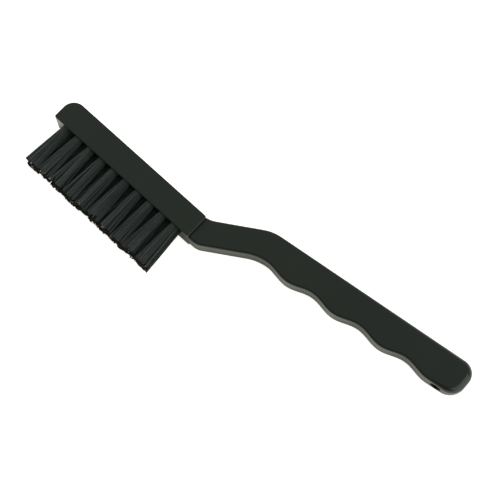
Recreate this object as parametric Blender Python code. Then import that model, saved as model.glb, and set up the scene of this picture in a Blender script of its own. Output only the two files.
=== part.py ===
"""Circuit board brush, lying on the side of its head.

One moulded handle (head, cranked neck and grip in one piece) carries three staggered
rows of bristle tufts. Each tuft is folded round a flat wire anchor at the bottom of its
hole. +X runs from the head's free end to the grip's end, the bristles point to -Y and
+Z is up. The origin is the centre of the head's flat side, which the brush rests on.
"""
import math
import random

import bmesh
import bpy
from mathutils import Matrix, Vector

MM = 0.001

# Tuft holes, in three staggered rows
ROW_TUFTS = (10, 9, 10)
HOLE_DIAMETER = 3.86 * MM
HOLE_DEPTH = 6.0 * MM
HOLE_GAP = 2.37 * MM
DIAGONAL_WALL = 0.58 * MM
SIDE_WALL = 0.86 * MM
BACK_WALL = 4.3 * MM
FREE_END_MARGIN = 6.35 * MM
STEP_MARGIN = 6.88 * MM
TUFT_PITCH = HOLE_DIAMETER + HOLE_GAP
ROW_PITCH = math.sqrt((HOLE_DIAMETER + DIAGONAL_WALL) ** 2 - (TUFT_PITCH / 2) ** 2)

# Head block, which the holes fill
HEAD_LENGTH = FREE_END_MARGIN + (max(ROW_TUFTS) - 1) * TUFT_PITCH + STEP_MARGIN
HEAD_DEPTH = HOLE_DEPTH + BACK_WALL
HEAD_WIDTH = (len(ROW_TUFTS) - 1) * ROW_PITCH + HOLE_DIAMETER + 2 * SIDE_WALL
HEAD_RIM = 0.35 * MM
FREE_END_BACK_RADIUS = 5.1 * MM
FREE_END_FACE_RADIUS = 0.8 * MM
STEP_BACK_RADIUS = 1.0 * MM
STEP_FACE_RADIUS = 0.5 * MM

# Neck, from the step at the head's end to the shoulder of the grip
NECK_ANGLE = math.radians(32.6)
NECK_RUN = 24.42 * MM
NECK_SWELL = 0.08 * MM
NECK_DEPTH = HEAD_DEPTH + NECK_SWELL
NECK_SETBACK = 0.77 * MM
NECK_BACK_LEDGE = 0.05 * MM
NECK_FACE_LEDGE = 0.05 * MM
NECK_ROOT = 5.0 * MM
NECK_ROOT_BACK_RADIUS = 1.5 * MM
NECK_ROOT_FACE_RADIUS = 1.5 * MM
NECK_BACK_RADIUS = 10.0 * MM
NECK_FACE_RADIUS = 7.0 * MM
SHOULDER_RADIUS = 17.0 * MM

# Grip, with finger hollows along its bristle side
GRIP_ANGLE = math.radians(7.9)
GRIP_LENGTH = 90.7 * MM
GRIP_THICKNESS = 8.0 * MM
GRIP_FRONT_DEPTH = 12.15 * MM
GRIP_END_DEPTH = 13.0 * MM
GRIP_RIM = 0.9 * MM
GRIP_END_RIM = 2.9 * MM
GRIP_END_BLEND = 14.0 * MM
GRIP_END_SLANT = math.radians(6)
GRIP_END_BACK_RADIUS = 5.2 * MM
GRIP_END_FACE_RADIUS = 6.2 * MM
HOLLOW_COUNT = 4
HOLLOW_HEIGHT = 0.98 * MM
HOLLOW_LEAD = 4.0 * MM
HOLLOW_END = 13.9 * MM
HANG_BORE = 4.4 * MM
HANG_MARGIN = 9.8 * MM

# Tufts
TUFT_CLEARANCE = 0.2 * MM
BRISTLE_LENGTH = 18.7 * MM
BRISTLE_RAGGED = 0.4 * MM
BRISTLE_STRAY = 0.04 * MM
BRISTLE_SPACE = 0.19 * MM
TUFT_CORE_SHARE = 0.58
TIP_GAP = 0.4 * MM
TIP_SQUEEZE_SHARE = 0.86
TIP_TAPER_SHARE = 0.9
TUFT_LEAN = math.radians(1.2)

# Flat wire anchors
ANCHOR_BITE = 0.42 * MM
ANCHOR_WIDTH = 1.6 * MM
ANCHOR_THICKNESS = 0.5 * MM
ANCHOR_CLEARANCE = 0.2 * MM
FOLD_DEPTH = 1.0 * MM
ANCHOR_LENGTH = HOLE_DIAMETER + 2 * ANCHOR_BITE

# Smoothness and cutting
OVERRUN = 1.0 * MM
RIM_LAND = 0.3 * MM
ARC_STEP = math.radians(11.5)
SHARP_ANGLE = math.radians(35)
LEAST_ARC_STEPS = 3
RIM_STEPS = 3
HOLLOW_STEPS = 5
BORE_SIDES = 24
HOLE_ARC_STEPS = 7
TUFT_ARC_STEPS = 3
SEED = 7

# Places that follow from the sizes
FREE_END_X = -HEAD_LENGTH / 2
STEP_X = HEAD_LENGTH / 2
BACK_Y = HEAD_DEPTH / 2
FACE_Y = -HEAD_DEPTH / 2
MIDDLE_Z = HEAD_WIDTH / 2
EYE_INNER = TUFT_CLEARANCE + FOLD_DEPTH - HOLE_DEPTH
EYE_OUTER = EYE_INNER + ANCHOR_WIDTH + 2 * ANCHOR_CLEARANCE


def material(name, colour, roughness, metallic=0.0):
    """Plain Principled material."""
    result = bpy.data.materials.new(name)
    result.use_nodes = True
    shader = result.node_tree.nodes["Principled BSDF"]
    shader.inputs["Base Color"].default_value = (*colour, 1.0)
    shader.inputs["Roughness"].default_value = roughness
    shader.inputs["Metallic"].default_value = metallic
    result.diffuse_color = (*colour, 1.0)
    return result


def add_object(name, mesh, finish, parent):
    """Turn a bmesh into a named object of one material."""
    data = bpy.data.meshes.new(name)
    mesh.to_mesh(data)
    mesh.free()
    data.materials.append(finish)
    result = bpy.data.objects.new(name, data)
    bpy.context.scene.collection.objects.link(result)
    result.parent = parent
    return result


def hide_guide(guide):
    """Keep a cutting or joining body out of the model."""
    guide.hide_render = True
    guide.display_type = "WIRE"


def combine(target, operand, operation):
    """Join to, or cut from, the target with another body."""
    modifier = target.modifiers.new(operand.name, "BOOLEAN")
    modifier.operation = operation
    modifier.solver = "EXACT"
    modifier.object = operand
    hide_guide(operand)


def heading(angle):
    """Unit direction in the plane of the outline."""
    return Vector((math.cos(angle), math.sin(angle)))


def left_of(way):
    """Direction a quarter turn to the left."""
    return Vector((-way.y, way.x))


def meet(point, way, other, other_way):
    """Where two lines cross."""
    reach = (other - point).cross(other_way) / way.cross(other_way)
    return point + reach * way


def rounded_outline(corners):
    """Closed run of points, each corner (point, radius) turned into an arc that fits its edges."""
    places = [corner for corner, _ in corners]
    halves = []
    for before, corner, after in zip(places[-1:] + places, places, places[1:] + places[:1]):
        halves.append((before - corner).angle(after - corner) / 2)
    reaches = [radius / math.tan(half) for (_, radius), half in zip(corners, halves)]
    points = []
    for index, (corner, radius) in enumerate(corners):
        if radius == 0:
            points.append(corner)
            continue
        half = halves[index]
        follow = (index + 1) % len(corners)
        for near in (index - 1, follow):
            room = (places[near] - corner).length
            radius = min(radius, corners[index][1] * room / (reaches[index] + reaches[near]))
        back = (places[index - 1] - corner).normalized()
        ahead = (places[follow] - corner).normalized()
        centre = corner + (back + ahead).normalized() * (radius / math.sin(half))
        arm = corner + back * (radius / math.tan(half)) - centre
        turn = math.copysign(math.pi - 2 * half, ahead.cross(back))
        steps = max(LEAST_ARC_STEPS, math.ceil(abs(turn) / ARC_STEP))
        for step in range(steps + 1):
            points.append(centre + Matrix.Rotation(turn * step / steps, 2) @ arm)
    return points


def slab(outline, thickness, rim):
    """Plate centred on the head's width, its rims rounded by rim(point) or half its wall."""
    mesh = bmesh.new()
    rings = []
    for side in (-1, 1):
        angles = [math.pi / 2 * step / RIM_STEPS for step in range(RIM_STEPS + 1)]
        for angle in angles if side > 0 else reversed(angles):
            ring = []
            for index, point in enumerate(outline):
                before = (point - outline[index - 1]).normalized()
                after = (outline[(index + 1) % len(outline)] - point).normalized()
                inward = left_of((before + after).normalized())
                radius = min(rim(point), (thickness - RIM_LAND) / 2)
                place = point + inward * radius * (1 - math.cos(angle))
                height = thickness / 2 - radius * (1 - math.sin(angle))
                ring.append(mesh.verts.new((place.x, place.y, MIDDLE_Z + side * height)))
            rings.append(ring)
    for lower, upper in zip(rings, rings[1:]):
        for index in range(len(outline)):
            follow = (index + 1) % len(outline)
            mesh.faces.new((lower[index], lower[follow], upper[follow], upper[index]))
    mesh.faces.new(reversed(rings[0]))
    mesh.faces.new(rings[-1])
    return mesh


def head_outline():
    """Head block seen from its side."""
    return rounded_outline([
        (Vector((FREE_END_X, FACE_Y)), FREE_END_FACE_RADIUS),
        (Vector((STEP_X, FACE_Y)), STEP_FACE_RADIUS),
        (Vector((STEP_X, BACK_Y)), STEP_BACK_RADIUS),
        (Vector((FREE_END_X, BACK_Y)), FREE_END_BACK_RADIUS),
    ])


NECK_WAY = heading(NECK_ANGLE)
GRIP_WAY = heading(GRIP_ANGLE)
NECK_START = Vector((STEP_X + NECK_SETBACK, BACK_Y - NECK_BACK_LEDGE))
NECK_FACE = NECK_START - NECK_DEPTH * left_of(NECK_WAY)
SHOULDER = NECK_START + NECK_RUN * NECK_WAY


def on_grip(along, depth):
    """Point of the grip at a distance from the shoulder and a depth below its back."""
    return SHOULDER + along * GRIP_WAY - depth * left_of(GRIP_WAY)


# The neck's bristle side runs on to the depth of the first hollow, which follows at once
HOLLOW_DEPTH = GRIP_FRONT_DEPTH - HOLLOW_HEIGHT
HOLLOW_CORNER = meet(on_grip(0, HOLLOW_DEPTH), GRIP_WAY, NECK_FACE, NECK_WAY)
HOLLOW_START = (HOLLOW_CORNER - SHOULDER).dot(GRIP_WAY) + HOLLOW_LEAD
HOLLOW_RUN = GRIP_LENGTH - HOLLOW_START - HOLLOW_END
HOLLOW_PITCH = HOLLOW_RUN / (HOLLOW_COUNT - 0.5)


def grip_depth(along):
    """Depth of the grip, which waves over the hollows and swells towards its end."""
    beyond = along - HOLLOW_START
    swell = (GRIP_END_DEPTH - GRIP_FRONT_DEPTH) * beyond / (GRIP_LENGTH - HOLLOW_START)
    wave = math.cos(2 * math.pi * min(beyond, HOLLOW_RUN) / HOLLOW_PITCH)
    return GRIP_FRONT_DEPTH + swell - HOLLOW_HEIGHT * wave


def grip_outline():
    """Neck and grip seen from the side, starting inside the head."""
    root_x = STEP_X - NECK_ROOT
    root_face = Vector((root_x, FACE_Y + NECK_FACE_LEDGE))
    corners = [
        (root_face, NECK_ROOT_FACE_RADIUS),
        (meet(root_face, heading(0), NECK_FACE, NECK_WAY), NECK_FACE_RADIUS),
        (HOLLOW_CORNER, HOLLOW_LEAD / math.tan((NECK_ANGLE - GRIP_ANGLE) / 2)),
    ]
    steps = HOLLOW_STEPS * (2 * HOLLOW_COUNT - 1)
    for step in range(1, steps + 1):
        along = HOLLOW_START + HOLLOW_RUN * step / steps
        corners.append((on_grip(along, grip_depth(along)), 0))
    end_depth = grip_depth(GRIP_LENGTH)
    return rounded_outline(corners + [
        (on_grip(GRIP_LENGTH - end_depth * math.tan(GRIP_END_SLANT), end_depth),
         GRIP_END_FACE_RADIUS),
        (on_grip(GRIP_LENGTH, 0), GRIP_END_BACK_RADIUS),
        (SHOULDER, SHOULDER_RADIUS),
        (NECK_START, NECK_BACK_RADIUS),
        (Vector((root_x, BACK_Y - NECK_BACK_LEDGE)), NECK_ROOT_BACK_RADIUS),
    ])


def grip_rim(point):
    """Rim radius, which grows over the last stretch of the grip."""
    along = (point - SHOULDER).dot(GRIP_WAY)
    share = (along - GRIP_LENGTH + GRIP_END_BLEND) / GRIP_END_BLEND
    share = min(max(share, 0), 1)
    return GRIP_RIM + (GRIP_END_RIM - GRIP_RIM) * share * share * (3 - 2 * share)


def pocket_ring(radius, arc_steps):
    """Round section with a flat at +X and -X as high as the anchor and its clearance."""
    flat = math.asin((ANCHOR_THICKNESS / 2 + ANCHOR_CLEARANCE) / radius)
    points = []
    for start in (flat, math.pi + flat):
        for step in range(arc_steps + 1):
            angle = start + (math.pi - 2 * flat) * step / arc_steps
            points.append(Vector((radius * math.cos(angle), radius * math.sin(angle))))
    return points


def pocket_body(mesh, radius, arc_steps, levels, place):
    """Prism of a pocket ring through the given heights; returns its top and flat faces."""
    ring = pocket_ring(radius, arc_steps)
    loops = [[mesh.verts.new(place(point, level)) for point in ring] for level in levels]
    flats = []
    for floor, (lower, upper) in enumerate(zip(loops, loops[1:])):
        for index in range(len(ring)):
            follow = (index + 1) % len(ring)
            face = mesh.faces.new((lower[index], lower[follow], upper[follow], upper[index]))
            if floor == 1 and index % (arc_steps + 1) == arc_steps:
                flats.append(face)
    mesh.faces.new(reversed(loops[0]))
    return loops[-1], flats


def tuft_places():
    """Row number, number in the row, X and Z of each tuft."""
    for row, count in enumerate(ROW_TUFTS):
        shift = 0 if count == max(ROW_TUFTS) else TUFT_PITCH / 2
        height = MIDDLE_Z + ((len(ROW_TUFTS) - 1) / 2 - row) * ROW_PITCH
        for index in range(count):
            along = FREE_END_X + FREE_END_MARGIN + shift + index * TUFT_PITCH
            yield row + 1, index + 1, along, height


def hole_cutters():
    """All tuft holes, each with a side pocket for the two ends of its anchor."""
    mesh = bmesh.new()
    bite = ANCHOR_LENGTH / 2 + ANCHOR_CLEARANCE
    for _, _, along, height in tuft_places():
        def place(point, level):
            return (along + point.x, FACE_Y - level, height + point.y)
        levels = (-HOLE_DEPTH, EYE_INNER, EYE_OUTER, OVERRUN)
        top, flats = pocket_body(mesh, HOLE_DIAMETER / 2, HOLE_ARC_STEPS, levels, place)
        mesh.faces.new(top)
        for face in bmesh.ops.extrude_discrete_faces(mesh, faces=flats)["faces"]:
            for vert in face.verts:
                vert.co.x = along + math.copysign(bite, vert.co.x - along)
    return mesh


def hang_bore_cutter():
    """Round bar through the grip, square to its back."""
    mesh = bmesh.new()
    along = GRIP_LENGTH - HANG_MARGIN
    bmesh.ops.create_cone(
        mesh, cap_ends=True, segments=BORE_SIDES, radius1=HANG_BORE / 2,
        radius2=HANG_BORE / 2, depth=grip_depth(along) + 2 * OVERRUN)
    centre = on_grip(along, grip_depth(along) / 2)
    turn = Matrix.Rotation(GRIP_ANGLE, 4, "Z") @ Matrix.Rotation(math.pi / 2, 4, "X")
    mesh.transform(Matrix.Translation((centre.x, centre.y, MIDDLE_Z)) @ turn)
    return mesh


def make_handle(finish, parent):
    """Head, neck and grip moulded in one, with the tuft holes and the hanging bore."""
    handle = add_object("handle", slab(head_outline(), HEAD_WIDTH, lambda point: HEAD_RIM),
                        finish, parent)
    grip = add_object("grip_guide", slab(grip_outline(), GRIP_THICKNESS, grip_rim),
                      finish, parent)
    combine(handle, grip, "UNION")
    combine(handle, add_object("bore_cutter", hang_bore_cutter(), finish, parent), "DIFFERENCE")
    combine(handle, add_object("hole_cutter", hole_cutters(), finish, parent), "DIFFERENCE")
    graph = bpy.context.evaluated_depsgraph_get()
    data = bpy.data.meshes.new_from_object(handle.evaluated_get(graph))
    for modifier in list(handle.modifiers):
        handle.modifiers.remove(modifier)
    handle.data = data
    data.shade_smooth()
    data.set_sharp_from_angle(angle=SHARP_ANGLE)
    return handle


def tuft_cells(mesh, ring):
    """Split the tuft's outer face into triangles, one for each strand."""
    height = ring[0].co.z
    radius = ring[0].co.xy.length * TUFT_CORE_SHARE
    centre = mesh.verts.new((0, 0, height))
    core = []
    for quarter in range(4):
        angle = math.pi / 2 * quarter
        core.append(mesh.verts.new((radius * math.cos(angle), radius * math.sin(angle), height)))
    cells = []
    for quarter in range(4):
        near, far = core[quarter], core[(quarter + 1) % 4]
        first, second, third = (ring[(2 * quarter + step) % len(ring)] for step in range(3))
        cells.append((centre, near, far))
        cells.append((near, first, second))
        cells.append((near, second, far))
        cells.append((second, third, far))
    return [mesh.faces.new(cell) for cell in cells]


def tuft_mesh(chance, lean):
    """Tuft in its own frame: +Z out of the face, folded end below, strands above."""
    mesh = bmesh.new()
    levels = (TUFT_CLEARANCE - HOLE_DEPTH, EYE_INNER, EYE_OUTER, 0)
    radius = HOLE_DIAMETER / 2 - TUFT_CLEARANCE
    top, flats = pocket_body(mesh, radius, TUFT_ARC_STEPS, levels,
                             lambda point, level: (point.x, point.y, level))
    eye_edges = [edge for face in flats for edge in face.edges]
    bmesh.ops.delete(mesh, geom=flats, context="FACES_ONLY")
    bmesh.ops.bridge_loops(mesh, edges=eye_edges)
    cells = tuft_cells(mesh, top)
    mesh.normal_update()
    bmesh.ops.inset_individual(
        mesh, faces=cells, thickness=BRISTLE_SPACE / 2, use_even_offset=True)
    centre_reach = max(cell.calc_center_median().x for cell in cells)
    strand_reach = max(vert.co.x for cell in cells for vert in cell.verts) - centre_reach
    spread = ((TUFT_PITCH - TIP_GAP) / 2 - strand_reach * TIP_TAPER_SHARE) / centre_reach
    for tip in bmesh.ops.extrude_discrete_faces(mesh, faces=cells)["faces"]:
        root = tip.calc_center_median()
        length = BRISTLE_LENGTH + chance.uniform(-BRISTLE_RAGGED, BRISTLE_RAGGED)
        stray = Vector((chance.uniform(-1, 1), chance.uniform(-1, 1), 0)) * BRISTLE_STRAY
        end = Vector((root.x * spread + length * math.tan(lean),
                      root.y * TIP_SQUEEZE_SHARE, length)) + stray
        for vert in tip.verts:
            vert.co = end + (vert.co - root) * TIP_TAPER_SHARE
    bmesh.ops.recalc_face_normals(mesh, faces=mesh.faces)
    return mesh


def anchor_mesh():
    """Flat wire staple, in the frame of its tuft."""
    mesh = bmesh.new()
    bmesh.ops.create_cube(mesh, size=1)
    bmesh.ops.scale(mesh, vec=(ANCHOR_LENGTH, ANCHOR_THICKNESS, ANCHOR_WIDTH), verts=mesh.verts)
    bmesh.ops.translate(mesh, vec=(0, 0, (EYE_INNER + EYE_OUTER) / 2), verts=mesh.verts)
    return mesh


def make_tufts(bristle, wire, parent):
    """Each tuft with the anchor that it is folded round."""
    chance = random.Random(SEED)
    for row, number, along, height in tuft_places():
        lean = TUFT_LEAN * (2 * (along - FREE_END_X) / HEAD_LENGTH - 1)
        tuft = add_object(f"tuft_row{row}_{number:02d}", tuft_mesh(chance, lean), bristle, parent)
        anchor = add_object(f"anchor_row{row}_{number:02d}", anchor_mesh(), wire, parent)
        for piece in (tuft, anchor):
            piece.location = (along, FACE_Y, height)
            piece.rotation_euler = (math.pi / 2, 0, 0)


def main():
    for item in list(bpy.data.objects):
        bpy.data.objects.remove(item)
    brush = bpy.data.objects.new("brush", None)
    bpy.context.scene.collection.objects.link(brush)
    plastic = material("satin_plastic", (0.024, 0.027, 0.026), 0.42)
    bristle = material("bristle", (0.03, 0.03, 0.03), 0.5)
    wire = material("anchor_wire", (0.62, 0.58, 0.5), 0.35, metallic=1.0)
    make_handle(plastic, brush)
    make_tufts(bristle, wire, brush)


main()
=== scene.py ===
"""Circuit board brush lying on its side, its packed handle and tufts replaced by finer ones."""

import math

import bmesh
import bpy
import numpy as np
from mathutils import Matrix, Vector


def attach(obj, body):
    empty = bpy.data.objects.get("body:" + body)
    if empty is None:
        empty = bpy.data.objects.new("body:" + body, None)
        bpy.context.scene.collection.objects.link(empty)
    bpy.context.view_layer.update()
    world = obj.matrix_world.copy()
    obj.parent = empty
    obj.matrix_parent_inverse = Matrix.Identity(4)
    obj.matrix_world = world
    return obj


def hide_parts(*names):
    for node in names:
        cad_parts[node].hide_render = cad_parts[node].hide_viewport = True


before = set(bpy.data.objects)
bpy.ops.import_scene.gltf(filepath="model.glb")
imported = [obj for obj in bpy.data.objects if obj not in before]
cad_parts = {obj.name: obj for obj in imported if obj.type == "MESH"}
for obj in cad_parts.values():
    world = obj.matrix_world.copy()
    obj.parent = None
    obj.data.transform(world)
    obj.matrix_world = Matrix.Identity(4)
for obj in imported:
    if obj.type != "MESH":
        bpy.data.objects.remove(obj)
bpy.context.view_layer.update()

MM = 0.001

# Tuft holes and tufts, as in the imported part
ROW_TUFTS = (10, 9, 10)
HOLE_DIAMETER = 3.86 * MM
HOLE_DEPTH = 6.0 * MM
HOLE_GAP = 2.37 * MM
DIAGONAL_WALL = 0.58 * MM
SIDE_WALL = 0.86 * MM
BACK_WALL = 4.3 * MM
FREE_END_MARGIN = 6.35 * MM
STEP_MARGIN = 6.88 * MM
TUFT_PITCH = HOLE_DIAMETER + HOLE_GAP
ROW_PITCH = math.sqrt((HOLE_DIAMETER + DIAGONAL_WALL) ** 2 - (TUFT_PITCH / 2) ** 2)
BRISTLE_LENGTH = 18.7 * MM
TUFT_LEAN = math.radians(1.2)

# Head block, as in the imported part
HEAD_LENGTH = FREE_END_MARGIN + (max(ROW_TUFTS) - 1) * TUFT_PITCH + STEP_MARGIN
HEAD_DEPTH = HOLE_DEPTH + BACK_WALL
HEAD_WIDTH = (len(ROW_TUFTS) - 1) * ROW_PITCH + HOLE_DIAMETER + 2 * SIDE_WALL
HEAD_RIM = 0.35 * MM
FREE_END_BACK_RADIUS = 5.1 * MM
FREE_END_FACE_RADIUS = 0.8 * MM
STEP_BACK_RADIUS = 1.0 * MM
STEP_FACE_RADIUS = 0.5 * MM

# Neck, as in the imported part
NECK_ANGLE = math.radians(32.6)
NECK_RUN = 24.42 * MM
NECK_SWELL = 0.08 * MM
NECK_DEPTH = HEAD_DEPTH + NECK_SWELL
NECK_SETBACK = 0.77 * MM
NECK_BACK_LEDGE = 0.05 * MM
NECK_FACE_LEDGE = 0.05 * MM
NECK_ROOT = 5.0 * MM
NECK_ROOT_BACK_RADIUS = 1.5 * MM
NECK_ROOT_FACE_RADIUS = 1.5 * MM
NECK_BACK_RADIUS = 10.0 * MM
NECK_FACE_RADIUS = 7.0 * MM
SHOULDER_RADIUS = 17.0 * MM

# Grip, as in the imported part
GRIP_ANGLE = math.radians(7.9)
GRIP_LENGTH = 90.7 * MM
GRIP_THICKNESS = 8.0 * MM
GRIP_FRONT_DEPTH = 12.15 * MM
GRIP_END_DEPTH = 13.0 * MM
GRIP_RIM = 0.9 * MM
GRIP_END_RIM = 2.9 * MM
GRIP_END_BLEND = 14.0 * MM
GRIP_END_SLANT = math.radians(6)
GRIP_END_BACK_RADIUS = 5.2 * MM
GRIP_END_FACE_RADIUS = 6.2 * MM
HOLLOW_COUNT = 4
HOLLOW_HEIGHT = 0.98 * MM
HOLLOW_LEAD = 4.0 * MM
HOLLOW_END = 13.9 * MM
HANG_BORE = 4.4 * MM
HANG_MARGIN = 9.8 * MM

# Places that follow from the sizes
FREE_END_X = -HEAD_LENGTH / 2
STEP_X = HEAD_LENGTH / 2
BACK_Y = HEAD_DEPTH / 2
FACE_Y = -HEAD_DEPTH / 2
MIDDLE_Z = HEAD_WIDTH / 2

# Fine finish of the handle
OVERRUN = 1.0 * MM
RIM_LAND = 0.3 * MM
ARC_STEP = math.radians(3)
LEAST_ARC_STEPS = 6
RIM_STEPS = 8
HOLLOW_STEPS = 22
BORE_SIDES = 64
HOLE_SIDES = 40
SHARP_ANGLE = math.radians(32)
EVEN_NORMAL_WEIGHT = 100
BORE_LIP = 0.35 * MM
BORE_LIP_STEPS = 5

# Filaments: how they are packed in their hole and how wide their tips stand
FILAMENT_DIAMETER = 0.22 * MM
FILAMENT_PITCH = 0.245 * MM
FILAMENT_SIDES = 5
BUNDLE_DIAMETER = 3.74 * MM
ROOT_JITTER = 0.06 * FILAMENT_PITCH
TIP_HALF_WIDTH = 2.9 * MM
TIP_WIDTH_QUANTILE = 0.96
TIP_SCATTER = 0.09 * MM
ALONG_FAN = 2 * TIP_HALF_WIDTH / BUNDLE_DIAMETER
ACROSS_FAN = 0.88
LEAN_SPREAD = math.radians(0.45)
ASTRAY_SHARE = 0.03
ASTRAY_REACH = 0.9 * MM
BOW = 0.07 * MM

# Filaments: how many clumps there are, at least and below, and how far each draws together
CLUMP_COUNTS = (3, 9)
CLUMP_PULLS = (0.05, 0.6)
CLUMP_LENGTH_SPREAD = 0.2 * MM
CLUMP_LENGTH_LIMITS = (-1.0 * MM, 0.4 * MM)

# Filaments: lengths and the ragged trim
USUAL_OVER = 0.2 * MM
LONGEST_OVER = 0.39 * MM
TUFT_LENGTH_SPREAD = 0.12 * MM
LENGTH_SPREADS = (0.02 * MM, 0.08 * MM)
LENGTH_SLOPE = 0.09
SHORT_SHARE = 0.05
SHORT_LOSSES = (0.2 * MM, 1.1 * MM)
TRIM_STEP = 0.6 * MM
TRIM_RAGGED = 0.17 * MM
TRIM_NOTCH = 1.1 * MM
TRIM_NOTCH_SHARE = 0.1
TRIM_NOTCH_DEPTH_SHARES = (0.5, 1)

# Filaments: rings along each one, and its last stretch and cut end in painted shade, with a painted
# highlight on some
FILAMENT_LEVELS = (-2.2 * MM, -0.3 * MM, 3.2 * MM, 7.5 * MM, 12.5 * MM)
# Where the painted shade on a filament's tip begins, also a ring
TIP_SHADE_BACK = 0.4 * MM
TIP_ROUND = 0.02 * MM
TIP_BACKS = (TIP_SHADE_BACK, TIP_ROUND, 0)
TIP_RADIUS_SHARE = 0.85
LEAST_TONE = 0.01
CREST_SHARE = 0.6
CUT_HIGHLIGHT_SHARE = 0.08
CREST_CUT_HIGHLIGHT_SHARE = 0.35
SEED = 11
ROW_SEED_STEP = 100


# Helpers

def heading(angle):
    """Unit direction in the plane of the outline."""
    return Vector((math.cos(angle), math.sin(angle)))


def left_of(way):
    """Direction a quarter turn to the left."""
    return Vector((-way.y, way.x))


def meet(point, way, other, other_way):
    """Where two lines cross."""
    reach = (other - point).cross(other_way) / way.cross(other_way)
    return point + reach * way


def rounded_outline(corners):
    """Closed run of points, each corner (point, radius) turned into an arc that fits its edges."""
    places = [corner for corner, _ in corners]
    halves = []
    for before, corner, after in zip(places[-1:] + places, places, places[1:] + places[:1]):
        halves.append((before - corner).angle(after - corner) / 2)
    reaches = [radius / math.tan(half) for (_, radius), half in zip(corners, halves)]
    points = []
    for index, (corner, radius) in enumerate(corners):
        if radius == 0:
            points.append(corner)
            continue
        half = halves[index]
        follow = (index + 1) % len(corners)
        for near in (index - 1, follow):
            room = (places[near] - corner).length
            radius = min(radius, corners[index][1] * room / (reaches[index] + reaches[near]))
        back = (places[index - 1] - corner).normalized()
        ahead = (places[follow] - corner).normalized()
        centre = corner + (back + ahead).normalized() * (radius / math.sin(half))
        arm = corner + back * (radius / math.tan(half)) - centre
        turn = math.copysign(math.pi - 2 * half, ahead.cross(back))
        steps = max(LEAST_ARC_STEPS, math.ceil(abs(turn) / ARC_STEP))
        for step in range(steps + 1):
            points.append(centre + Matrix.Rotation(turn * step / steps, 2) @ arm)
    return points


def slab(outline, thickness, rim):
    """Plate centred on the head's width, its rims rounded by rim(point) or half its wall."""
    mesh = bmesh.new()
    rings = []
    for side in (-1, 1):
        angles = [math.pi / 2 * step / RIM_STEPS for step in range(RIM_STEPS + 1)]
        for angle in angles if side > 0 else reversed(angles):
            ring = []
            for index, point in enumerate(outline):
                before = (point - outline[index - 1]).normalized()
                after = (outline[(index + 1) % len(outline)] - point).normalized()
                inward = left_of((before + after).normalized())
                radius = min(rim(point), (thickness - RIM_LAND) / 2)
                place = point + inward * radius * (1 - math.cos(angle))
                height = thickness / 2 - radius * (1 - math.sin(angle))
                ring.append(mesh.verts.new((place.x, place.y, MIDDLE_Z + side * height)))
            rings.append(ring)
    skin(mesh, rings)
    return mesh


def skin(mesh, rings):
    """Join a run of rings into one closed body."""
    for lower, upper in zip(rings, rings[1:]):
        for index in range(len(lower)):
            follow = (index + 1) % len(lower)
            mesh.faces.new((lower[index], lower[follow], upper[follow], upper[index]))
    mesh.faces.new(reversed(rings[0]))
    mesh.faces.new(rings[-1])


def turned(profile, sides, place):
    """Body of revolution through (radius, level) pairs; place(x, y, level) puts each point."""
    mesh = bmesh.new()
    angles = [2 * math.pi * side / sides for side in range(sides)]
    rings = []
    for radius, level in profile:
        rings.append([
            mesh.verts.new(place(radius * math.cos(angle), radius * math.sin(angle), level))
            for angle in angles
        ])
    skin(mesh, rings)
    bmesh.ops.recalc_face_normals(mesh, faces=mesh.faces)
    return mesh


def add_object(name, data):
    """Put a mesh, lamp or camera into the scene under its name."""
    result = bpy.data.objects.new(name, data)
    bpy.context.scene.collection.objects.link(result)
    return result


def add_body(name, mesh):
    """Turn a bmesh into a named object."""
    data = bpy.data.meshes.new(name)
    mesh.to_mesh(data)
    mesh.free()
    return add_object(name, data)


def apply_modifiers(body):
    """Make the modified shape the body's own mesh."""
    graph = bpy.context.evaluated_depsgraph_get()
    data = bpy.data.meshes.new_from_object(body.evaluated_get(graph))
    body.modifiers.clear()
    body.data = data


# Shader helpers

MIX_COLOURS = slice(6, 8)
MIX_RESULT = 2


def new_material(name):
    """Material with its nodes, links and main shader."""
    result = bpy.data.materials.new(name)
    result.use_nodes = True
    tree = result.node_tree
    return result, tree.nodes, tree.links, tree.nodes["Principled BSDF"]


def texture(nodes, links, coordinate, scale, detail=2.0, roughness=0.5, stretch=None):
    """Noise on the given coordinates, stretched if asked."""
    noise = nodes.new("ShaderNodeTexNoise")
    noise.inputs["Scale"].default_value = scale
    noise.inputs["Detail"].default_value = detail
    noise.inputs["Roughness"].default_value = roughness
    if stretch:
        mapping = nodes.new("ShaderNodeMapping")
        mapping.inputs["Scale"].default_value = stretch
        links.new(coordinate, mapping.inputs["Vector"])
        coordinate = mapping.outputs["Vector"]
    links.new(coordinate, noise.inputs["Vector"])
    return noise.outputs["Fac"]


def spread(nodes, links, value, source, target):
    """Map a value's range (low, high) onto another."""
    node = nodes.new("ShaderNodeMapRange")
    node.inputs["From Min"].default_value, node.inputs["From Max"].default_value = source
    node.inputs["To Min"].default_value, node.inputs["To Max"].default_value = target
    links.new(value, node.inputs["Value"])
    return node.outputs["Result"]


def shade(nodes, links, share, first, second):
    """Colour between two, each a socket or a colour, by a share."""
    node = nodes.new("ShaderNodeMix")
    node.data_type = "RGBA"
    links.new(share, node.inputs["Factor"])
    for socket, colour in zip(node.inputs[MIX_COLOURS], (first, second)):
        if isinstance(colour, tuple):
            socket.default_value = (*colour, 1)
        else:
            links.new(colour, socket)
    return node.outputs[MIX_RESULT]


def calculate(nodes, links, operation, first, second):
    """One sum of two values, each a socket or a number."""
    node = nodes.new("ShaderNodeMath")
    node.operation = operation
    for socket, value in zip(node.inputs, (first, second)):
        if isinstance(value, (int, float)):
            socket.default_value = value
        else:
            links.new(value, socket)
    return node.outputs[0]


def blend(nodes, links, first, second, first_share):
    """Weighted mean of two values."""
    return calculate(nodes, links, "ADD",
                     calculate(nodes, links, "MULTIPLY", first, first_share),
                     calculate(nodes, links, "MULTIPLY", second, 1 - first_share))


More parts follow.
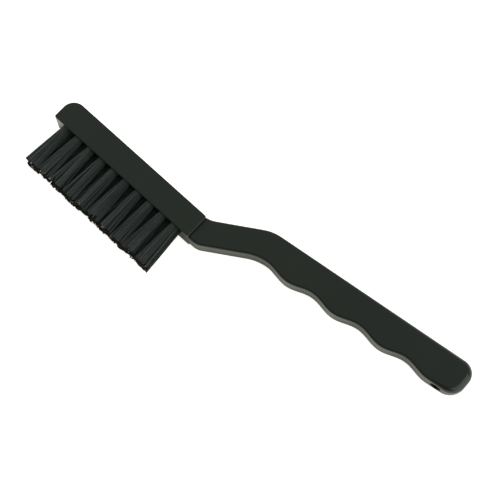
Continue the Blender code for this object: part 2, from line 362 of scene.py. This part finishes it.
def bump(nodes, links, height, strength, distance, base=None):
    """Bumped normal, on top of another if given."""
    node = nodes.new("ShaderNodeBump")
    node.inputs["Strength"].default_value = strength
    node.inputs["Distance"].default_value = distance
    links.new(height, node.inputs["Height"])
    if base:
        links.new(base, node.inputs["Normal"])
    return node.outputs["Normal"]


# Materials: texture scales are per metre

NOISE_RANGE = (0.3, 0.7)
WHOLE_RANGE = (0, 1)
PLASTIC_IOR = 1.5

PLASTIC_DARK = (0.0030, 0.0085, 0.0030)
PLASTIC_LIGHT = (0.0050, 0.0115, 0.0050)
CLOUDS = {"scale": 45, "detail": 3}
GRAIN = {"scale": 3800, "detail": 2, "roughness": 0.6}
PORES = {"scale": 1300, "detail": 1}
SCUFFS = {"scale": 260, "detail": 4, "roughness": 0.7, "stretch": (0.25, 1.6, 1.6)}
CLOUD_SHARE = 0.85
SCUFF_RANGE = (0.35, 0.75)
SCUFF_ROUGHNESS = (0.22, 0.17)
GRAIN_ROUGHNESS = (-0.015, 0.015)
GRAIN_STRENGTH = 0.12
GRAIN_HEIGHT = 0.008 * MM
PORE_STRENGTH = 0.06
PORE_HEIGHT = 0.012 * MM


def satin_plastic():
    """Dark moulded plastic with a fine grain, faint flow marks and handling scuffs."""
    result, nodes, links, shader = new_material("satin_plastic_fine")
    place = nodes.new("ShaderNodeTexCoord").outputs["Object"]
    clouds = texture(nodes, links, place, **CLOUDS)
    grain = texture(nodes, links, place, **GRAIN)
    pores = texture(nodes, links, place, **PORES)
    scuffs = texture(nodes, links, place, **SCUFFS)
    tone = spread(nodes, links, blend(nodes, links, clouds, pores, CLOUD_SHARE),
                  NOISE_RANGE, WHOLE_RANGE)
    links.new(shade(nodes, links, tone, PLASTIC_DARK, PLASTIC_LIGHT), shader.inputs["Base Color"])
    rough = calculate(nodes, links, "ADD",
                      spread(nodes, links, scuffs, SCUFF_RANGE, SCUFF_ROUGHNESS),
                      spread(nodes, links, grain, NOISE_RANGE, GRAIN_ROUGHNESS))
    links.new(rough, shader.inputs["Roughness"])
    fine = bump(nodes, links, grain, GRAIN_STRENGTH, GRAIN_HEIGHT)
    links.new(bump(nodes, links, pores, PORE_STRENGTH, PORE_HEIGHT, fine), shader.inputs["Normal"])
    shader.inputs["IOR"].default_value = PLASTIC_IOR
    return result


STREAKS = {"scale": 900, "detail": 2, "stretch": (1, 0.06, 1)}
DRAW_MARKS = {"scale": 6000, "detail": 1, "stretch": (1, 0.02, 1)}
OWN_TONE_SHARE = 0.5
TONE_RANGE = (0.2, 0.8)
# Filament side tones, root to tip: the paler tip is partly wear and partly painted light
ROOT_DARK = (0.0140, 0.0240, 0.0180)
ROOT_LIGHT = (0.0200, 0.0320, 0.0255)
TIP_DARK = (0.0250, 0.0360, 0.0320)
TIP_LIGHT = (0.0380, 0.0530, 0.0470)
WEAR_AND_LIGHT_START_SHARE = 0.3
WEAR_AND_LIGHT_RANGE = (FACE_Y - WEAR_AND_LIGHT_START_SHARE * BRISTLE_LENGTH, FACE_Y - BRISTLE_LENGTH)
# Painted shade on each filament's last stretch and cut end, and a painted highlight on some cut ends
CUT_SHADE = (0.010, 0.010, 0.006)
CUT_HIGHLIGHT = (0.62, 0.57, 0.43)
SIDE_AND_CUT_SPECULAR = (0.5, 0.03)
NYLON_ROUGHNESS = (0.44, 0.58)
DRAW_STRENGTH = 0.2
DRAW_HEIGHT = 0.006 * MM


def filament_nylon():
    """Drawn dark nylon, each filament of its own tone, paler towards the tip from wear and painted
    light, its last stretch and cut end in painted shade with a painted highlight on some.
    """
    result, nodes, links, shader = new_material("filament_nylon")
    place = nodes.new("ShaderNodeTexCoord").outputs["Object"]
    own = nodes.new("ShaderNodeNewGeometry").outputs["Random Per Island"]
    streaks = texture(nodes, links, place, **STREAKS)
    tone = spread(nodes, links, blend(nodes, links, own, streaks, OWN_TONE_SHARE),
                  TONE_RANGE, WHOLE_RANGE)
    # Paler towards the tip: partly wear, partly painted light
    split = nodes.new("ShaderNodeSeparateXYZ")
    links.new(place, split.inputs[0])
    worn_and_lit = spread(nodes, links, split.outputs["Y"], WEAR_AND_LIGHT_RANGE, WHOLE_RANGE)
    side = shade(nodes, links, worn_and_lit, shade(nodes, links, tone, ROOT_DARK, ROOT_LIGHT),
                 shade(nodes, links, tone, TIP_DARK, TIP_LIGHT))
    # Last stretch and cut end: painted shade, with a painted highlight on some
    cut = nodes.new("ShaderNodeAttribute")
    cut.attribute_name = "cut_end"
    is_end = calculate(nodes, links, "GREATER_THAN", cut.outputs["Fac"], 0)
    whole = shade(nodes, links, is_end, side,
                  shade(nodes, links, cut.outputs["Fac"], CUT_SHADE, CUT_HIGHLIGHT))
    links.new(whole, shader.inputs["Base Color"])
    links.new(spread(nodes, links, is_end, WHOLE_RANGE, SIDE_AND_CUT_SPECULAR),
              shader.inputs["Specular IOR Level"])
    links.new(spread(nodes, links, streaks, NOISE_RANGE, NYLON_ROUGHNESS),
              shader.inputs["Roughness"])
    marks = texture(nodes, links, place, **DRAW_MARKS)
    links.new(bump(nodes, links, marks, DRAW_STRENGTH, DRAW_HEIGHT), shader.inputs["Normal"])
    shader.inputs["IOR"].default_value = PLASTIC_IOR
    return result


WIRE_MARKS = {"scale": 9000, "detail": 2, "stretch": (0.04, 1, 1)}
WIRE_DARK = (0.50, 0.46, 0.38)
WIRE_LIGHT = (0.66, 0.62, 0.54)
WIRE_ROUGHNESS = (0.28, 0.42)
WIRE_STRENGTH = 0.2
WIRE_MARK_HEIGHT = 0.004 * MM


def drawn_wire():
    """Flat drawn metal wire with lengthwise marks."""
    result, nodes, links, shader = new_material("drawn_wire")
    place = nodes.new("ShaderNodeTexCoord").outputs["Object"]
    marks = texture(nodes, links, place, **WIRE_MARKS)
    links.new(shade(nodes, links, marks, WIRE_DARK, WIRE_LIGHT), shader.inputs["Base Color"])
    links.new(spread(nodes, links, marks, NOISE_RANGE, WIRE_ROUGHNESS), shader.inputs["Roughness"])
    links.new(bump(nodes, links, marks, WIRE_STRENGTH, WIRE_MARK_HEIGHT), shader.inputs["Normal"])
    shader.inputs["Metallic"].default_value = 1
    return result


FLOOR_HALF_SIZE = 3
FLOOR_COLOUR = (0.91, 0.89, 0.85)
FLOOR_ROUGHNESS = 0.9
SEEN_GLOW = 0.84
SEEN_GLOW_COLOUR = (1.0, 0.98, 0.95)
MIRRORED_GLOW = 0.5
MIRRORED_GLOW_COLOUR = (1.0, 0.93, 0.78)
OPEN_GLOW = 1.15
CONTACT_REACH = 6 * MM
CONTACT_POWER = 7
CONTACT_SAMPLES = 8


def pale_floor():
    """Near-white floor that glows where it is seen, and where it is mirrored, its mirrored glow
    dimmed near the brush as painted contact shade.
    """
    result, nodes, links, shader = new_material("pale_floor")
    path = nodes.new("ShaderNodeLightPath")
    mirrored = calculate(nodes, links, "MAXIMUM", path.outputs["Is Glossy Ray"],
                         path.outputs["Is Transmission Ray"])
    # Painted contact shade: the warm glow in reflections fades with ambient occlusion close to the
    # brush
    nearby = nodes.new("ShaderNodeAmbientOcclusion")
    nearby.samples = CONTACT_SAMPLES
    nearby.inputs["Distance"].default_value = CONTACT_REACH
    openness = calculate(nodes, links, "POWER", nearby.outputs["AO"], CONTACT_POWER)
    mirrored_glow = calculate(nodes, links, "MINIMUM", MIRRORED_GLOW,
                              calculate(nodes, links, "MULTIPLY", openness, OPEN_GLOW))
    glow = calculate(nodes, links, "MAXIMUM",
                     calculate(nodes, links, "MULTIPLY", path.outputs["Is Camera Ray"], SEEN_GLOW),
                     calculate(nodes, links, "MULTIPLY", mirrored, mirrored_glow))
    links.new(glow, shader.inputs["Emission Strength"])
    links.new(shade(nodes, links, mirrored, SEEN_GLOW_COLOUR, MIRRORED_GLOW_COLOUR),
              shader.inputs["Emission Color"])
    shader.inputs["Base Color"].default_value = (*FLOOR_COLOUR, 1)
    shader.inputs["Roughness"].default_value = FLOOR_ROUGHNESS
    return result


# Handle

NECK_WAY = heading(NECK_ANGLE)
GRIP_WAY = heading(GRIP_ANGLE)
NECK_START = Vector((STEP_X + NECK_SETBACK, BACK_Y - NECK_BACK_LEDGE))
NECK_FACE = NECK_START - NECK_DEPTH * left_of(NECK_WAY)
SHOULDER = NECK_START + NECK_RUN * NECK_WAY


def on_grip(along, depth):
    """Point of the grip at a distance from the shoulder and a depth below its back."""
    return SHOULDER + along * GRIP_WAY - depth * left_of(GRIP_WAY)


# The run of hollows starts in the first one and ends on the crest half a pitch after the last
HOLLOW_DEPTH = GRIP_FRONT_DEPTH - HOLLOW_HEIGHT
HOLLOW_CORNER = meet(on_grip(0, HOLLOW_DEPTH), GRIP_WAY, NECK_FACE, NECK_WAY)
HOLLOW_START = (HOLLOW_CORNER - SHOULDER).dot(GRIP_WAY) + HOLLOW_LEAD
HOLLOW_RUN = GRIP_LENGTH - HOLLOW_START - HOLLOW_END
HOLLOW_PITCHES = HOLLOW_COUNT - 1 / 2
HOLLOW_PITCH = HOLLOW_RUN / HOLLOW_PITCHES


def grip_depth(along):
    """Depth of the grip, which waves over the hollows and swells towards its end."""
    beyond = along - HOLLOW_START
    swell = (GRIP_END_DEPTH - GRIP_FRONT_DEPTH) * beyond / (GRIP_LENGTH - HOLLOW_START)
    wave = math.cos(2 * math.pi * min(beyond, HOLLOW_RUN) / HOLLOW_PITCH)
    return GRIP_FRONT_DEPTH + swell - HOLLOW_HEIGHT * wave


def head_outline():
    """Head block seen from its side."""
    return rounded_outline([
        (Vector((FREE_END_X, FACE_Y)), FREE_END_FACE_RADIUS),
        (Vector((STEP_X, FACE_Y)), STEP_FACE_RADIUS),
        (Vector((STEP_X, BACK_Y)), STEP_BACK_RADIUS),
        (Vector((FREE_END_X, BACK_Y)), FREE_END_BACK_RADIUS),
    ])


def grip_outline():
    """Neck and grip seen from the side, starting inside the head."""
    root_x = STEP_X - NECK_ROOT
    root_face = Vector((root_x, FACE_Y + NECK_FACE_LEDGE))
    corners = [
        (root_face, NECK_ROOT_FACE_RADIUS),
        (meet(root_face, heading(0), NECK_FACE, NECK_WAY), NECK_FACE_RADIUS),
        (HOLLOW_CORNER, HOLLOW_LEAD / math.tan((NECK_ANGLE - GRIP_ANGLE) / 2)),
    ]
    steps = int(HOLLOW_STEPS * HOLLOW_PITCHES)
    for step in range(1, steps + 1):
        along = HOLLOW_START + HOLLOW_RUN * step / steps
        corners.append((on_grip(along, grip_depth(along)), 0))
    end_depth = grip_depth(GRIP_LENGTH)
    return rounded_outline(corners + [
        (on_grip(GRIP_LENGTH - end_depth * math.tan(GRIP_END_SLANT), end_depth),
         GRIP_END_FACE_RADIUS),
        (on_grip(GRIP_LENGTH, 0), GRIP_END_BACK_RADIUS),
        (SHOULDER, SHOULDER_RADIUS),
        (NECK_START, NECK_BACK_RADIUS),
        (Vector((root_x, BACK_Y - NECK_BACK_LEDGE)), NECK_ROOT_BACK_RADIUS),
    ])


def grip_rim(point):
    """Rim radius, which grows over the last stretch of the grip."""
    along = (point - SHOULDER).dot(GRIP_WAY)
    share = (along - GRIP_LENGTH + GRIP_END_BLEND) / GRIP_END_BLEND
    share = min(max(share, 0), 1)
    return GRIP_RIM + (GRIP_END_RIM - GRIP_RIM) * share * share * (3 - 2 * share)


def tuft_places():
    """Row number, number in the row, X and Z of each tuft."""
    for row, count in enumerate(ROW_TUFTS):
        shift = 0 if count == max(ROW_TUFTS) else TUFT_PITCH / 2
        height = MIDDLE_Z + ((len(ROW_TUFTS) - 1) / 2 - row) * ROW_PITCH
        for index in range(count):
            along = FREE_END_X + FREE_END_MARGIN + shift + index * TUFT_PITCH
            yield row + 1, index + 1, along, height


def hole_cutters():
    """All tuft holes."""
    whole = bmesh.new()
    for _, _, along, height in tuft_places():
        hole = turned([(HOLE_DIAMETER / 2, -HOLE_DEPTH), (HOLE_DIAMETER / 2, OVERRUN)], HOLE_SIDES,
                      lambda x, y, level: (along + x, FACE_Y - level, height + y))
        data = bpy.data.meshes.new("hole")
        hole.to_mesh(data)
        hole.free()
        whole.from_mesh(data)
        bpy.data.meshes.remove(data)
    return whole


def hang_bore_cutter():
    """Round bar through the grip, square to its back, flared to round the bore's two lips."""
    along = GRIP_LENGTH - HANG_MARGIN
    depth = grip_depth(along)
    flare = []
    for step in range(BORE_LIP_STEPS + 1):
        angle = math.pi / 2 * step / BORE_LIP_STEPS
        flare.append((HANG_BORE / 2 + BORE_LIP * (1 - math.cos(angle)),
                      depth / 2 - BORE_LIP * (1 - math.sin(angle))))
    flare.append((flare[-1][0], depth / 2 + OVERRUN))
    profile = [(radius, -level) for radius, level in reversed(flare)] + flare
    centre = on_grip(along, depth / 2)
    turn = Matrix.Rotation(GRIP_ANGLE, 4, "Z") @ Matrix.Rotation(math.pi / 2, 4, "X")
    to_world = Matrix.Translation((centre.x, centre.y, MIDDLE_Z)) @ turn
    return turned(profile, BORE_SIDES, lambda x, y, level: to_world @ Vector((x, y, level)))


def make_handle():
    """Head, neck and grip moulded in one, with the tuft holes and the hanging bore."""
    handle = add_body("brush_handle", slab(head_outline(), HEAD_WIDTH, lambda point: HEAD_RIM))
    guides = (
        (add_body("grip_guide", slab(grip_outline(), GRIP_THICKNESS, grip_rim)), "UNION"),
        (add_body("bore_guide", hang_bore_cutter()), "DIFFERENCE"),
        (add_body("hole_guide", hole_cutters()), "DIFFERENCE"),
    )
    for guide, operation in guides:
        modifier = handle.modifiers.new(guide.name, "BOOLEAN")
        modifier.operation = operation
        modifier.solver = "EXACT"
        modifier.object = guide
    apply_modifiers(handle)
    for guide, _ in guides:
        bpy.data.objects.remove(guide)
    handle.data.shade_smooth()
    handle.data.set_sharp_from_angle(angle=SHARP_ANGLE)
    even = handle.modifiers.new("even_normals", "WEIGHTED_NORMAL")
    even.keep_sharp = True
    even.weight = EVEN_NORMAL_WEIGHT
    apply_modifiers(handle)
    return handle


# Filaments

def packed_roots(chance):
    """Places of the filaments in a hole, packed as round bars are, slightly disturbed."""
    reach = (BUNDLE_DIAMETER - FILAMENT_DIAMETER) / 2
    row_step = FILAMENT_PITCH * math.sqrt(3) / 2
    rows = math.ceil(reach / row_step)
    line = np.arange(-rows, rows + 1)
    column, row = np.meshgrid(line, line)
    x = (column + (row % 2) / 2) * FILAMENT_PITCH
    y = row * row_step
    turn = chance.uniform(0, math.pi / 3)
    places = np.stack([x * math.cos(turn) - y * math.sin(turn),
                       x * math.sin(turn) + y * math.cos(turn)], -1).reshape(-1, 2)
    places += chance.uniform(-ROOT_JITTER, ROOT_JITTER, places.shape)
    return places[np.hypot(*places.T) < reach]


def first_lengths(roots, chance):
    """Length of each filament out of the face, on a slope across the tuft and a few of them short."""
    count = len(roots)
    length = BRISTLE_LENGTH + USUAL_OVER + chance.normal(0, TUFT_LENGTH_SPREAD)
    length = length + chance.normal(0, 1, count) * chance.uniform(*LENGTH_SPREADS)
    length += roots @ chance.normal(0, LENGTH_SLOPE, 2)
    short = chance.random(count) < SHORT_SHARE
    return length - short * chance.uniform(*SHORT_LOSSES, count)


def gather(tips, length, chance):
    """Pull the tips into clumps, each a little longer or shorter, and give each filament's clump."""
    clumps = chance.randint(*CLUMP_COUNTS)
    middles = tips[chance.choice(len(tips), clumps, replace=False)]
    clump = np.argmin(np.hypot(*(tips[:, None] - middles[None]).transpose(2, 0, 1)), 1)
    pull = chance.uniform(*CLUMP_PULLS, clumps)[clump]
    tips += (middles[clump] - tips) * pull[:, None]
    change = np.clip(chance.normal(0, CLUMP_LENGTH_SPREAD, clumps), *CLUMP_LENGTH_LIMITS)
    length += change[clump]
    return clump


def ragged_trim():
    """How much the trimming took off in each step along the brush, alike in all rows."""
    chance = np.random.RandomState(SEED)
    steps = int(HEAD_LENGTH / TRIM_STEP) + 1
    cut = chance.normal(0, TRIM_RAGGED, steps)
    notched = chance.random(steps) < TRIM_NOTCH_SHARE
    return cut + notched * chance.uniform(*TRIM_NOTCH_DEPTH_SHARES, steps) * TRIM_NOTCH


def stations(roots, tips, bow, length):
    """Points (x, y, level over the face) along each filament, bowed most at half its length."""
    points = []
    for level in FILAMENT_LEVELS:
        share = np.maximum(level / length, 0)[:, None]
        flat = roots + (tips - roots) * share + bow * 4 * share * (1 - share)
        points.append(np.column_stack([flat, np.full(len(roots), level)]))
    for back in TIP_BACKS:
        points.append(np.column_stack([tips - (tips - roots) * (back / length)[:, None],
                                       length - back]))
    return np.stack(points, 1)


def tubes(paths, radii, sides):
    """Vertices and faces of one closed tube along each path, its far cap last."""
    count, rings, _ = paths.shape
    angles = np.arange(sides) * 2 * math.pi / sides
    verts = np.repeat(paths[:, :, None, :], sides, 2)
    verts[..., 0] += radii[None, :, None] * np.cos(angles)
    verts[..., 2] += radii[None, :, None] * np.sin(angles)
    faces = []
    for item in range(count):
        base = item * rings * sides
        for ring in range(rings - 1):
            low, high = base + ring * sides, base + (ring + 1) * sides
            for side in range(sides):
                follow = (side + 1) % sides
                faces.append((low + side, high + side, high + follow, low + follow))
        faces.append(tuple(base + side for side in range(sides)))
        last = base + (rings - 1) * sides
        faces.append(tuple(last + side for side in reversed(range(sides))))
    return verts.reshape(-1, 3), faces


def cut_tones(tips, clump, chance):
    """How much painted highlight each filament's cut end gets over its painted shade: most get almost
    none, and more get some on the upper crest.
    """
    crest = tips[:, 1] > CREST_SHARE * tips[:, 1].max()
    shares = np.array([[CUT_HIGHLIGHT_SHARE], [CREST_CUT_HIGHLIGHT_SHARE]])
    highlighted = chance.random(clump.max() + 1) < shares
    return LEAST_TONE + chance.random(len(tips)) ** 2 * highlighted[crest.astype(int), clump]


def mark_cut_ends(data, tones, rings):
    """Keep each filament's tone, which picks between painted shade and a painted highlight, on the
    faces of its tip and its cap, and 0 on its others.
    """
    shown = np.zeros((len(tones), len(data.polygons) // len(tones)))
    first = (rings - len(TIP_BACKS)) * FILAMENT_SIDES
    tip_faces = list(range(first, (rings - 1) * FILAMENT_SIDES))
    shown[:, tip_faces + [-1]] = tones[:, None]
    data.attributes.new("cut_end", "FLOAT", "FACE").data.foreach_set("value", shown.ravel())


def tuft(name, along, height, trim, chance):
    """One tuft of filaments, fanned out from its hole, some clumped and a few astray."""
    roots = packed_roots(chance)
    count = len(roots)
    share = 2 * (along - FREE_END_X) / HEAD_LENGTH - 1
    lean = TUFT_LEAN * share + chance.normal(0, LEAN_SPREAD)
    length = first_lengths(roots, chance)
    tips = roots * (ALONG_FAN, ACROSS_FAN)
    clump = gather(tips, length, chance)
    tips[:, 0] *= TIP_HALF_WIDTH / np.quantile(np.abs(tips[:, 0]), TIP_WIDTH_QUANTILE)
    tips[:, 0] += length * math.tan(lean)
    tips += chance.normal(0, TIP_SCATTER, tips.shape)
    length -= trim[((along + tips[:, 0] - FREE_END_X) / TRIM_STEP).astype(int)]
    length = np.minimum(length, BRISTLE_LENGTH + LONGEST_OVER)
    astray = chance.random(count) < ASTRAY_SHARE
    tips[:, 0] += astray * chance.normal(0, ASTRAY_REACH, count)
    local = stations(roots, tips, chance.normal(0, BOW, (count, 2)), length)
    paths = np.stack([along + local[..., 0], FACE_Y - local[..., 2], height + local[..., 1]], -1)
    rings = local.shape[1]
    radii = np.full(rings, FILAMENT_DIAMETER / 2)
    radii[-1] *= TIP_RADIUS_SHARE
    verts, faces = tubes(paths, radii, FILAMENT_SIDES)
    data = bpy.data.meshes.new(name)
    data.from_pydata(verts.tolist(), [], faces)
    data.polygons.foreach_set("use_smooth", [len(face) == 4 for face in faces])
    mark_cut_ends(data, cut_tones(tips, clump, chance), rings)
    data.update()
    return add_object(name, data)


# Room, lamps and camera: the room's ranges are of the view direction's Y and Z

ROOM_RISE = (-0.35, 0.15)
ROOM_LEVELS = (0.22, 0.50)
ROOM_FRONT = (1.0, 0.98, 0.94)
ROOM_BACK = (0.94, 1.0, 1.01)
SURROUND_FADE = (0.1, 0.25)
SURROUND_LEVELS = (1.2, 0)
LAMP_SIZE = 1.5
LAMP_TARGET = Vector((0.03, 0, 0))
LAMPS = (
    ("left", Vector((-1.25, 0.1, 0.68)), 13.0, (0.99, 1, 0.98)),
    ("right", Vector((1.25, 0.1, 0.68)), 7.5, (0.92, 1, 0.98)),
)
CAMERA_RIGHT = Vector((0.7328, 0.6804, 0))
CAMERA_UP = Vector((-0.6557, 0.7062, 0.2672))
CAMERA_PLACE = Vector((155.13, -101.19, 542.42)) * MM
CAMERA_LENS = 108
CAMERA_SENSOR = 36


def make_floor():
    """Flat floor under the brush."""
    mesh = bmesh.new()
    bmesh.ops.create_grid(mesh, x_segments=2, y_segments=2, size=FLOOR_HALF_SIZE)
    floor = add_body("floor", mesh)
    floor.data.materials.append(pale_floor())


def make_room():
    """Dim room, brighter and cooler behind the brush, with a bright band low all round."""
    world = bpy.data.worlds.new("studio")
    bpy.context.scene.world = world
    world.use_nodes = True
    nodes, links = world.node_tree.nodes, world.node_tree.links
    background = nodes["Background"]
    way = nodes.new("ShaderNodeSeparateXYZ")
    links.new(nodes.new("ShaderNodeTexCoord").outputs["Generated"], way.inputs[0])
    level = calculate(nodes, links, "MAXIMUM",
                      spread(nodes, links, way.outputs["Y"], ROOM_RISE, ROOM_LEVELS),
                      spread(nodes, links, way.outputs["Z"], SURROUND_FADE, SURROUND_LEVELS))
    tint = spread(nodes, links, way.outputs["Y"], (-1, 1), WHOLE_RANGE)
    links.new(shade(nodes, links, tint, ROOM_FRONT, ROOM_BACK), background.inputs["Color"])
    seen = nodes.new("ShaderNodeLightPath").outputs["Is Camera Ray"]
    links.new(calculate(nodes, links, "MAXIMUM", level, seen), background.inputs["Strength"])


def make_lamps():
    """Square area lamps that look at the brush, one on each side of the tufts."""
    for name, place, power, colour in LAMPS:
        data = bpy.data.lights.new(name, "AREA")
        data.shape = "SQUARE"
        data.size = LAMP_SIZE
        data.energy = power
        data.color = colour
        lamp = add_object(name, data)
        lamp.location = place
        lamp.rotation_euler = (LAMP_TARGET - place).to_track_quat("-Z", "Y").to_euler()


def make_camera():
    """Camera at the photograph's viewing angle."""
    right, up = CAMERA_RIGHT.normalized(), CAMERA_UP.normalized()
    data = bpy.data.cameras.new("camera")
    data.lens = CAMERA_LENS
    data.sensor_width = CAMERA_SENSOR
    camera = add_object("camera", data)
    turn = Matrix((right, up, right.cross(up))).transposed().to_4x4()
    camera.matrix_world = Matrix.Translation(CAMERA_PLACE) @ turn
    bpy.context.scene.camera = camera


# Assembly

def main():
    """Stage the brush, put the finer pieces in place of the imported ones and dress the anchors."""
    bpy.context.scene.view_settings.view_transform = "Standard"
    make_floor()
    make_room()
    make_lamps()
    make_camera()

    handle = make_handle()
    handle.data.materials.clear()
    handle.data.materials.append(satin_plastic())
    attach(handle, "root")
    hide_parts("handle")

    nylon = filament_nylon()
    trim = ragged_trim()
    for row, number, along, height in tuft_places():
        chance = np.random.RandomState(SEED + ROW_SEED_STEP * row + number)
        piece = tuft(f"filaments_row{row}_{number:02d}", along, height, trim, chance)
        piece.data.materials.append(nylon)
        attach(piece, "root")
        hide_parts(f"tuft_row{row}_{number:02d}")

    wire = drawn_wire()
    for name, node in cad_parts.items():
        if name.startswith("anchor"):
            for holder in node.material_slots:
                holder.material = wire


main()
